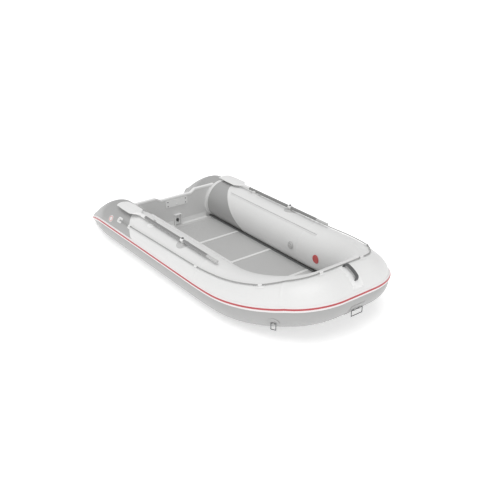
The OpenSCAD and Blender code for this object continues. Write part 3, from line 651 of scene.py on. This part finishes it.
@dataclass
class Tubes:
    """The inflated chambers: stern sections, sides and bow, in two colours."""

    form: HullForm
    shop: Workshop
    facets: int = 96
    ring_step: float = 0.012
    pucker: float = 0.0016
    pucker_pitch: float = 0.042
    low_edge_deg: float = 237.25
    crown_x: float = 0.22
    seam_fall: float = 0.0040
    seam_blend_deg: float = 25.0
    tape_width: float = 0.030
    tape_lift: float = 0.0007
    tape_reach: tuple[float, float] = (17.0, 234.0)

    def elevations(self) -> list[float]:
        """Elevations of the ring's points, one of them on the strake's centre."""
        return [self.form.strake_deg + 360.0 * k / self.facets for k in range(self.facets)]

    def tags(self) -> list[int]:
        """Tone of each column of faces: 0 above the strake and inboard, 1 below."""
        return [1 if e + 1 > self.low_edge_deg else 0 for e in self.elevations()]

    def seam_x(self, elev: float) -> float:
        """Where the grey stern section ends, at an elevation round the tube."""
        away = abs((elev - 90.0 + 180.0) % 360.0 - 180.0)
        fall = math.hypot(min(away, 118.0), self.seam_blend_deg) - self.seam_blend_deg
        return self.form.joint_x - self.crown_x + self.seam_fall * fall

    def crease(self, s: float, elev: float) -> float:
        """Depth of the small puckers on the inside of the bends."""
        inner = bell(elev, 120.0, 240.0)
        form = self.form
        bends = (bell(s, 0.15, form.s_shoulder + 0.02)
                 + 1.4 * bell(s, form.s_oblique - 0.02, form.s_corner + 0.03))
        wave = 0.5 + 0.5 * math.cos(2 * math.pi * s / self.pucker_pitch)
        return -self.pucker * inner * bends * wave

    def build(self) -> None:
        """Builds every chamber and the tapes over their joints."""
        for name, side in (("port", 1), ("starboard", -1)):
            self.stern_section(name, side)
            self.side(name, side)
        self.bow()
        self.tapes()

    def stern_section(self, name: str, side: int) -> None:
        """Builds the stern cone and the grey tube before it as one chamber.

        Args:
            name: port or starboard.
            side: 1 for port, -1 for starboard.
        """
        form, elevs = self.form, self.elevations()
        cap = [form.tip_x + form.cone_cap * (1 - math.cos(t))
               for t in np.linspace(0.0, math.pi / 2, 14)]
        xs = cap + list(np.linspace(cap[-1], form.cone_x, 26)[1:])
        rings = [[form.point(form.stern(x), e, 0.0, side) for e in elevs] for x in xs]
        for u in np.linspace(0.0, 1.0, 30)[1:]:
            rings.append([form.point(form.stern(form.cone_x + u * (self.seam_x(e) - form.cone_x)),
                                     e, 0.0, side) for e in elevs])
        self.shop.piece(name + "_stern_chamber_skin", Loft().sweep(np.array(rings), fan=True),
                        [Finish.GREY_FABRIC], "grey_pvc",
                        (name + "_stern_cone", name + "_quarter_tube"))

    def side(self, name: str, side: int) -> None:
        """Builds a straight side, white above the strake and grey below.

        Args:
            name: port or starboard.
            side: 1 for port, -1 for starboard.
        """
        form, elevs = self.form, self.elevations()
        rings = []
        for u in np.linspace(0.0, 1.0, 70):
            rings.append([form.point(form.stern(self.seam_x(e) + u * (form.rise_x
                                                                      - self.seam_x(e))),
                                     e, 0.0, side) for e in elevs])
        self.shop.piece(name + "_side_skin", Loft().sweep(np.array(rings), self.tags(), fan=True),
                        [Finish.WHITE_FABRIC, Finish.GREY_FABRIC], "white_pvc",
                        (name + "_side_tube",))

    def bow(self) -> None:
        """Builds the bow chamber, with puckers inside its bends."""
        form, elevs = self.form, self.elevations()
        rings = [[form.point(s, e, self.crease(s, e), side) for e in elevs]
                 for s, side in form.round_bow(form.s_rise, self.ring_step)]
        self.shop.piece("bow_skin", Loft().sweep(np.array(rings), self.tags(), fan=True),
                        [Finish.WHITE_FABRIC, Finish.GREY_FABRIC], "white_pvc", ("bow_tube",))

    def band(self, side: int, place: Callable[[float], float]) -> np.ndarray:
        """A thin tape over the white part of a tube.

        Args:
            side: 1 for port, -1 for starboard.
            place: arc length of the joint at an elevation.

        Returns:
            Rings from above the strake to the lower edge of the white.
        """
        profile = ((-1.0, -0.4), (-1.0, 0.1), (-0.9, 1.0), (0.9, 1.0), (1.0, 0.1), (1.0, -0.4))
        return np.array([[self.form.point(place(e) + u * self.tape_width / 2, e,
                                          lift * self.tape_lift, side) for u, lift in profile]
                         for e in np.linspace(*self.tape_reach, 90)])

    def tapes(self) -> None:
        """Builds the welded tapes over the joints of the fabric panels."""
        form = self.form
        places = {"stern_joint_tapes": lambda e: form.stern(self.seam_x(e)),
                  "bow_joint_tapes": lambda e: form.s_rise,
                  "shoulder_tapes": lambda e: form.s_shoulder + form.oblique / 2}
        for name, place in places.items():
            loft = Loft()
            for side in (1, -1):
                loft.sweep(self.band(side, place))
            self.shop.piece(name, loft, [Finish.WHITE_FABRIC], "white_pvc")


@dataclass
class Strake:
    """The rubbing strake and its stripe, right round the boat."""

    form: HullForm
    shop: Workshop
    width: float = 0.046
    depth: float = 0.010
    stripe_width: float = 0.013
    stripe_depth: float = 0.0017
    step: float = 0.012
    profile: tuple[tuple[float, float], ...] = (
        (-1.0, 0.06), (-0.93, 0.16), (-0.80, 0.22), (-0.72, 0.62), (-0.60, 0.92), (-0.40, 1.0),
        (-0.10, 0.97), (0.10, 0.97), (0.40, 1.0), (0.60, 0.92), (0.72, 0.62), (0.80, 0.22),
        (0.93, 0.16), (1.0, 0.06))

    def stops(self) -> list[tuple[float, int]]:
        """Stops from one stern cone to the other."""
        return self.form.round_bow(self.form.stern(self.form.tip_x + 0.047), self.step)

    def half_deg(self, s: float) -> float:
        """Half the strake's height round the tube, in degrees."""
        return math.degrees(self.width / 2 / self.form.radius(self.form.plan(s)[0]))

    def build(self) -> None:
        """Builds the strake and the stripe."""
        form = self.form
        rings, stripes = [], []
        for s, side in self.stops():
            half = self.half_deg(s)
            ring = [form.point(s, form.strake_deg + a * half, d * self.depth, side)
                    for a, d in self.profile]
            ring += [form.point(s, form.strake_deg + a * half, 0.0004, side)
                     for a in (1.0, 0.33, -0.33, -1.0)]
            rings.append(ring)
            top = 0.45 * half
            low = top - math.degrees(self.stripe_width / form.radius(form.plan(s)[0]))
            seat, crown = self.depth, self.depth + self.stripe_depth
            stripes.append([form.point(s, form.strake_deg + e, lift, side) for e, lift in (
                (low, seat), (low, crown - 0.0006), (low + 0.1 * (top - low), crown),
                (low + 0.9 * (top - low), crown), (top, crown - 0.0006), (top, seat))])
        self.shop.piece("strake_moulding", Loft().sweep(np.array(rings)), [Finish.STRAKE],
                        "strake_pvc", ("rub_strake",), crease_deg=35)
        self.shop.piece("strake_stripe", Loft().sweep(np.array(stripes)), [Finish.RED_STRIPE],
                        "stripe_red", ("rub_strake_stripe",), crease_deg=50)


@dataclass
class Bottom:
    """The bottom fabric and the air keel that presses it down."""

    form: HullForm
    shop: Workshop
    edge_deg: float = 252.0
    gap: float = 0.0003
    thickness: float = 0.0015
    across: int = 33
    keel_low: float = 0.0026
    keel_run: float = 0.300

    def section(self, s: float) -> tuple[list[np.ndarray], list[np.ndarray]]:
        """Upper and lower lines of the fabric across the boat.

        Args:
            s: arc length of the section.

        Returns:
            The points of the two lines.
        """
        form = self.form
        edge = form.point(s, self.edge_deg, self.gap)
        front = form.point(form.s_corner, self.edge_deg, self.gap)
        start = form.rise_x + self.keel_run
        share = max(0.0, edge[0] - start) / (front[0] - start)
        keel = self.keel_low + (front[2] - 0.012) * share ** 2
        upper, lower = [], []
        for t in np.linspace(-1, 1, self.across):
            z = keel + (edge[2] - keel) * abs(t) ** 1.15
            upper.append(np.array([edge[0], t * edge[1], z]))
            lower.append(np.array([edge[0], t * edge[1], z - self.thickness]))
        return upper, lower

    def build(self) -> None:
        """Builds the fabric and the keel."""
        form = self.form
        aft = form.stern(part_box("bottom_skin")[0][0])
        rings = []
        for s in np.linspace(aft, form.s_corner, 90):
            upper, lower = self.section(float(s))
            rings.append(upper + lower[::-1])
        skin = np.array(rings)
        cloth = self.shop.piece("bottom_fabric", Loft().sweep(skin), [Finish.GREY_FABRIC],
                                "grey_pvc", ("bottom_skin",), crease_deg=30)
        self.keel()

    def keel(self) -> None:
        """Builds the flat bladder, drawn in towards both ends."""
        low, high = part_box("keel_bladder")
        middle = (np.array(low) + np.array(high)) / 2
        half = (np.array(high) - np.array(low)) / 2
        rings = []
        for u in np.linspace(-1, 1, 40):
            draw = max(0.12, (1 - abs(u) ** 14)) ** 0.5
            ring = []
            for t in np.linspace(0, 2 * math.pi, 36, endpoint=False):
                c, d = math.cos(t), math.sin(t)
                y = half[1] * draw * math.copysign(abs(c) ** 0.55, c)
                z = half[2] * draw * math.copysign(abs(d) ** 0.8, d)
                ring.append([middle[0] + u * half[0], middle[1] + y, middle[2] + z])
            rings.append(ring)
        self.shop.piece("air_keel_skin", Loft().sweep(np.array(rings)), [Finish.GREY_FABRIC],
                        "grey_pvc", ("keel_bladder",))


@dataclass
class GrabLine:
    """The rope along both sides and round the bow, with its laid strands."""

    form: HullForm
    shop: Workshop
    diameter: float = 0.009
    lift: float = 0.0095
    strands: int = 3
    lay: float = 0.034
    relief: float = 0.10
    step: float = 0.004
    end: float = 0.040

    def holds(self) -> list[tuple[float, float]]:
        """Where the rope is held: arc length and elevation, from stern to bow."""
        form = self.form
        return [(-1.530, 41.0), (-1.330, 42.0), (-0.242, 48.0), (form.s_shoulder - 0.135, 62.0),
                (form.s_mid - 0.205, 93.0)]

    def middle(self, s: float, side: int) -> np.ndarray:
        """The rope's centre line at s on one side."""
        places, elevs = zip(*self.holds())
        return self.form.point(s, float(np.interp(s, places, elevs)), self.lift, side)

    def build(self) -> None:
        start = self.holds()[0][0] - self.end
        path = np.array([self.middle(s, side)
                         for s, side in self.form.round_bow(start, self.step)])
        steps = np.linalg.norm(np.diff(path, axis=0), axis=1)
        along = np.concatenate([[0.0], np.cumsum(steps)])
        heads = np.gradient(path, axis=0)
        heads /= np.linalg.norm(heads, axis=1)[:, None]
        rings = []
        for spot, head, run in zip(path, heads, along):
            side = np.cross(head, [0.0, 0.0, 1.0])
            side /= np.linalg.norm(side)
            up = np.cross(side, head)
            ring = []
            for t in np.linspace(0, 2 * math.pi, 18, endpoint=False):
                wave = abs(math.cos(self.strands / 2 * (t - 2 * math.pi * run / self.lay)))
                r = self.diameter / 2 * (1 - self.relief * (1 - wave))
                ring.append(spot + r * (math.cos(t) * side + math.sin(t) * up))
            rings.append(ring)
        rope = self.shop.piece("grab_rope", Loft().sweep(np.array(rings)), [Finish.ROPE], "rope",
                               ("grab_line",), crease_deg=70)
        LOG.info("grab rope is %.3f m long", float(along[-1]))


@dataclass
class Oars:
    """Blades and grips of the two oars; shafts and collars come from the frame."""

    form: HullForm
    shop: Workshop
    rib: float = 0.0035
    ring_points: int = 40

    def build(self) -> None:
        """Builds both oars' moulded parts."""
        for name in ("port", "starboard"):
            self.blade(name)
            self.grip(name)

    def blade(self, name: str) -> None:
        """Builds a flat blade that runs into a round socket, with a raised rib along it.

        Args:
            name: port or starboard.
        """
        low, high = (np.array(c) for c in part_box(name + "_oar_blade"))
        y0, z0 = (low[1] + high[1]) / 2, (low[2] + high[2]) / 2
        half_w, socket = (high[1] - low[1]) / 2, (high[2] - low[2]) / 2
        length = high[0] - low[0]
        rings = []
        for u in self.stations():
            tip = math.sqrt(max(0.02, 1 - (1 - min(1.0, u / 0.09)) ** 2))
            throat = min(1.0, max(0.0, (u - 0.58) / 0.22))
            ease = throat * throat * (3 - 2 * throat)
            width = half_w * (0.80 + 0.20 * min(1.0, u / 0.3)) * tip * (1 - ease) + socket * ease
            thick = 0.0022 + (socket - 0.0022) * ease
            ring = []
            for t in np.linspace(0, 2 * math.pi, self.ring_points, endpoint=False):
                c, d = math.cos(t), math.sin(t)
                power = 0.35 + 0.65 * ease
                y = width * math.copysign(abs(c) ** (0.8 + 0.2 * ease), c)
                z = thick * math.copysign(abs(d) ** power, d)
                spine = self.rib * (1 - ease) * math.exp(-(y / 0.010) ** 2) * min(1.0, u / 0.1)
                z += math.copysign(spine, d) if abs(d) > 0.05 else 0.0
                ring.append([low[0] + u * length, y0 + y, z0 + z])
            rings.append(ring)
        self.shop.piece(name + "_blade", Loft().sweep(np.array(rings)), [Finish.WHITE_MOULDING],
                        "white_plastic", (name + "_oar_blade",), name + "_oar", 45)

    @staticmethod
    def stations() -> list[float]:
        """Shares of the blade's length, closest at its tip and its throat."""
        tip = [0.09 * (1 - math.cos(t)) for t in np.linspace(0, math.pi / 2, 12)]
        return tip + list(np.linspace(0.09, 1.0, 44)[1:])

    def grip(self, name: str) -> None:
        """Builds a ribbed rubber grip with a rounded end.

        Args:
            name: port or starboard.
        """
        low, high = (np.array(c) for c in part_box(name + "_oar_grip"))
        y0, z0 = (low[1] + high[1]) / 2, (low[2] + high[2]) / 2
        radius = (high[2] - low[2]) / 2
        shaft_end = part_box(name + "_oar_shaft")[1][0]
        rings = []
        for x in np.linspace(shaft_end + 0.0002, high[0], 90):
            run = (x - shaft_end) / (high[0] - shaft_end)
            r = radius * (0.90 + 0.03 * math.cos(2 * math.pi * run * 14))
            if run > 0.9:
                r = radius * (0.9 + 0.1 * bell(run, 0.86, 1.06))
            edge = (high[0] - x) / 0.006
            r *= math.sqrt(max(0.05, 1 - (1 - min(1.0, edge)) ** 2))
            rings.append([[x, y0 + r * math.cos(t), z0 + r * math.sin(t)]
                          for t in np.linspace(0, 2 * math.pi, 28, endpoint=False)])
        self.shop.piece(name + "_grip", Loft().sweep(np.array(rings)), [Finish.GREY_MOULDING],
                        "dark_rubber", (name + "_oar_grip",), name + "_oar")


@dataclass
class BowHandle:
    """The moulded grip that arches over its base on the bow."""

    form: HullForm
    shop: Workshop
    gap: float = 0.027
    base: float = 0.0034
    thickness: float = 0.011
    width: float = 0.030

    def build(self) -> None:
        """Builds the arched grip, dark all over as painted shade for the shadowed sides of the
        arch.
        """
        form = self.form
        centre = np.array([form.bow_x, 0.0, form.side_r + form.rise])
        foot = form.bow_r + self.base + 0.001
        crown = form.bow_r + self.base + self.gap + self.thickness / 2
        rings = []
        for u in np.linspace(0, 1, 48):
            edge = min(1.0, min(u, 1 - u) / 0.16)
            ease = math.sin(edge * math.pi / 2) ** 0.7
            e = math.radians(43 + 44 * u)
            r = foot + (crown - foot) * ease
            out = np.array([math.cos(e), 0.0, math.sin(e)])
            lean = (1 - ease) * (1 if u < 0.5 else -1)
            along = np.array([-math.sin(e), 0.0, math.cos(e)])
            face = out * math.cos(lean) - along * math.sin(lean)
            wide = self.width / 2 * (1.0 + 0.15 * (1 - ease))
            ring = []
            for t in np.linspace(0, 2 * math.pi, 24, endpoint=False):
                c, d = math.cos(t), math.sin(t)
                y = wide * math.copysign(abs(c) ** 0.6, c)
                z = self.thickness / 2 * math.copysign(abs(d) ** 0.6, d)
                ring.append(centre + out * r + face * z + np.array([0.0, y, 0.0]))
            rings.append(ring)
        # The dark finish on this grip is painted shade: it stands for the shadow along both sides
        # of the arch.
        self.shop.piece("carry_grip", Loft().sweep(np.array(rings)), [Finish.DARK_RUBBER],
                        "dark_rubber", ("bow_handle_grip",))


@dataclass
class Floor:
    """The treads on the floor panels; the panels come from the frame."""

    shop: Workshop
    pitch: float = 0.016
    foot: float = 0.0045
    crown: float = 0.0025
    height: float = 0.0009
    margin: float = 0.020
    aft_margin: float = 0.068

    def build(self) -> None:
        """Lays straight ribs across every panel."""
        panels = ("floor_panel_aft", "floor_panel_middle", "floor_panel_fore")
        for node in panels:
            low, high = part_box(node)
            loft = Loft()
            start = low[0] + (self.aft_margin if node == panels[0] else self.margin)
            run = high[0] - self.margin - start
            count = int(run / self.pitch)
            for k in range(count + 1):
                x = start + k * run / count
                z = high[2]
                rings = [[[x - self.foot / 2, y, z], [x - self.crown / 2, y, z + self.height],
                          [x + self.crown / 2, y, z + self.height], [x + self.foot / 2, y, z]]
                         for y in (low[1] + self.margin, high[1] - self.margin)]
                loft.sweep(np.array(rings))
            self.shop.piece(node + "_treads", loft, [Finish.TREAD], "floor_alloy")


@dataclass
class Badges:
    """Plain rings on the round badges, with no mark inside them."""

    form: HullForm
    shop: Workshop
    turns: int = 64

    def ring(self, s: float, elev: float, side: int, radius: float, wide: float,
             lift: float) -> np.ndarray:
        """A raised ring on the tube's skin.

        Args:
            s: arc length of its middle.
            elev: elevation of its middle, in degrees.
            side: 1 for port, -1 for starboard.
            radius: its mean radius.
            wide: its width.
            lift: height of its underside above the skin.

        Returns:
            Rings that close on themselves.
        """
        tube = self.form.radius(self.form.plan(s)[0])
        rings = []
        for t in np.linspace(0, 2 * math.pi, self.turns, endpoint=False):
            ring = []
            for u, rise in ((-1, 0.0), (-0.8, 0.0008), (0.8, 0.0008), (1, 0.0)):
                r = radius + u * wide / 2
                ring.append(self.form.point(s + r * math.cos(t),
                                            elev + math.degrees(r * math.sin(t) / tube),
                                            lift + rise, side))
            rings.append(ring)
        return np.array(rings)

    def build(self) -> None:
        """Builds the rings on all four badges."""
        low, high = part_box("stern_badges")
        stern_s = self.form.stern((low[0] + high[0]) / 2)
        inner, stern = Loft(), Loft()
        for side in (1, -1):
            inner.sweep(self.ring(0.058, 180.0, side, 0.029, 0.006, 0.0038), loop=True)
            stern.sweep(self.ring(stern_s, 31.0, side, 0.024, 0.005, 0.0022), loop=True)
        self.shop.piece("side_badge_rings", inner, [Finish.RED_BADGE], "stripe_red")
        self.shop.piece("stern_badge_rings", stern, [Finish.RED_BADGE], "stripe_red")


class Fittings:
    """Frame nodes that keep their shape and get a finish."""

    FINISHES: dict[Finish, tuple[str, ...]] = {
        Finish.WHITE_MOULDING: ("transom_cap", "motor_plate_inner", "drain_valve", "drain_guard",
                                "port_oar_collar", "starboard_oar_collar", "oar_rests",
                                "blade_keepers", "bow_handle_base"),
        Finish.WHITE_FABRIC: ("transom_bands", "thwart_rails", "grab_line_patches",
                              "stern_badges"),
        Finish.GREY_FABRIC: ("chamber_bulkheads", "bow_ring_patch", "tow_ring_patches"),
        Finish.GREY_MOULDING: ("rowlock_bases", "air_valves", "port_valve_cap",
                               "starboard_valve_cap", "bow_valve_cap"),
        # The stringers' dark grey is painted shade of the gap between the floor and the tubes.
        Finish.STRINGER_PAINTED_SHADE: ("side_stringers",),
        Finish.DARK_RUBBER: ("motor_plate_outer", "drain_plug", "drain_flap",
                             "port_rowlock_post", "starboard_rowlock_post", "port_rowlock_cap",
                             "starboard_rowlock_cap"),
        Finish.FLOOR_ALLOY: ("floor_panel_aft", "floor_panel_middle", "floor_panel_fore",
                             "floor_board_bow"),
        Finish.TRIM_ALLOY: ("floor_joiners", "transom_base_channel"),
        Finish.TRANSOM_SKIN: ("transom_board",),
        Finish.OAR_TUBE: ("port_oar_shaft", "starboard_oar_shaft"),
        Finish.STEEL: ("motor_plate_bolts", "bow_ring", "port_tow_ring", "starboard_tow_ring"),
        Finish.RED_BADGE: ("side_badges",),
    }

    def __init__(self, shop: Workshop) -> None:
        """Keeps the workshop.

        Args:
            shop: where finishes are put on.
        """
        self.shop = shop

    def build(self) -> None:
        """Dresses every fitting."""
        for finish, nodes in self.FINISHES.items():
            for node in nodes:
                self.shop.dress(node, finish)


@dataclass
class Studio:
    """Camera, floor and soft lights."""

    shop: Workshop
    camera_at: tuple[float, float, float] = (4.852, -3.525, 3.050)
    azimuth_deg: float = 52.36
    down_deg: float = 26.04
    focal_mm: float = 50.88
    sensor_mm: float = 36.0
    floor_half: float = 150.0

    def camera(self) -> None:
        """Places the camera."""
        data = bpy.data.cameras.new("camera")
        data.lens, data.sensor_width = self.focal_mm, self.sensor_mm
        data.clip_end = 500.0
        camera = bpy.data.objects.new("camera", data)
        camera.location = self.camera_at
        a, e = math.radians(self.azimuth_deg), math.radians(self.down_deg)
        look = Vector((-math.sin(a) * math.cos(e), math.cos(a) * math.cos(e), -math.sin(e)))
        camera.rotation_euler = look.to_track_quat("-Z", "Y").to_euler()
        bpy.context.scene.collection.objects.link(camera)
        bpy.context.scene.camera = camera

    def light(self, name: str, at: tuple[float, float, float], spread_deg: float,
              strength: float) -> None:
        """Adds a broad, soft light aimed at the boat.

        Args:
            name: the light's name.
            at: the direction that it comes from.
            spread_deg: how wide it looks from the boat.
            strength: its strength.
        """
        data = bpy.data.lights.new(name, "SUN")
        data.angle, data.energy = math.radians(spread_deg), strength
        lamp = bpy.data.objects.new(name, data)
        lamp.location = at
        lamp.rotation_euler = (-Vector(at)).to_track_quat("-Z", "Y").to_euler()
        bpy.context.scene.collection.objects.link(lamp)

    def build(self) -> None:
        """Lays the floor and sets the lights and the surrounding brightness."""
        half = self.floor_half
        mesh = bpy.data.meshes.new("studio_floor")
        mesh.from_pydata([(-half, -half, 0), (half, -half, 0), (half, half, 0), (-half, half, 0)],
                         [], [(0, 1, 2, 3)])
        mesh.materials.append(self.shop.shop.get(Finish.STUDIO))
        floor = bpy.data.objects.new("studio_floor", mesh)
        bpy.context.scene.collection.objects.link(floor)
        self.light("key", (0.5, -1.2, 5.0), 50.0, 1.35)
        self.light("fill", (4.0, -2.0, 2.5), 60.0, 0.45)
        world = bpy.data.worlds.new("studio_world")
        world.use_nodes = True
        world.node_tree.nodes["Background"].inputs["Color"].default_value = (1, 1, 1, 1)
        world.node_tree.nodes["Background"].inputs["Strength"].default_value = 0.5
        bpy.context.scene.world = world
        bpy.context.scene.view_settings.view_transform = "Standard"


def main() -> None:
    """Builds the boat and its studio in order."""
    logging.basicConfig(level=logging.INFO, format="%(name)s: %(message)s")
    shop = Workshop(FinishShop())
    studio = Studio(shop)
    studio.camera()
    form = HullForm()
    GrabLine(form, shop).build()
    Tubes(form, shop).build()
    Strake(form, shop).build()
    Bottom(form, shop).build()
    Floor(shop).build()
    Oars(form, shop).build()
    BowHandle(form, shop).build()
    Badges(form, shop).build()
    Fittings(shop).build()
    studio.build()


if __name__ == "__main__":
    main()
